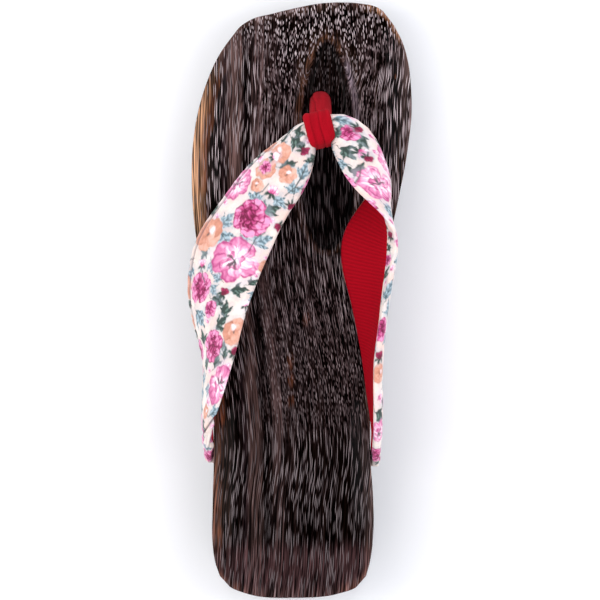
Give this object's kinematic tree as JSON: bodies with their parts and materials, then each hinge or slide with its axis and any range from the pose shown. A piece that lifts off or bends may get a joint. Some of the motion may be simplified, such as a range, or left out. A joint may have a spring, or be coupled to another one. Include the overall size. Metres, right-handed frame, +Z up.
{
  "type": "geta sandal",
  "caption": "Low foot-shaped wooden sandal with a carved arch, a wide padded strap joined at the toe, and a cloth toe loop.",
  "frame": {"origin": "on the floor, under the middle of the sandal's box", "axes": "+Z up, +Y from the heel to the toes, +X to the wearer's right, which is the big toe's side of this left shoe"},
  "size_m": [0.0903, 0.24, 0.0652],
  "materials": {
    "sole_wood": "charred, brushed and lacquered",
    "strap_cloth": "printed cotton, red ribbed lining",
    "thong_cloth": "plain red cloth"
  },
  "bodies": {
    "root": {"wooden_sole": "sole_wood", "strap_upper": "strap_cloth", "toe_thong": "thong_cloth"}
  },
  "joints": []
}
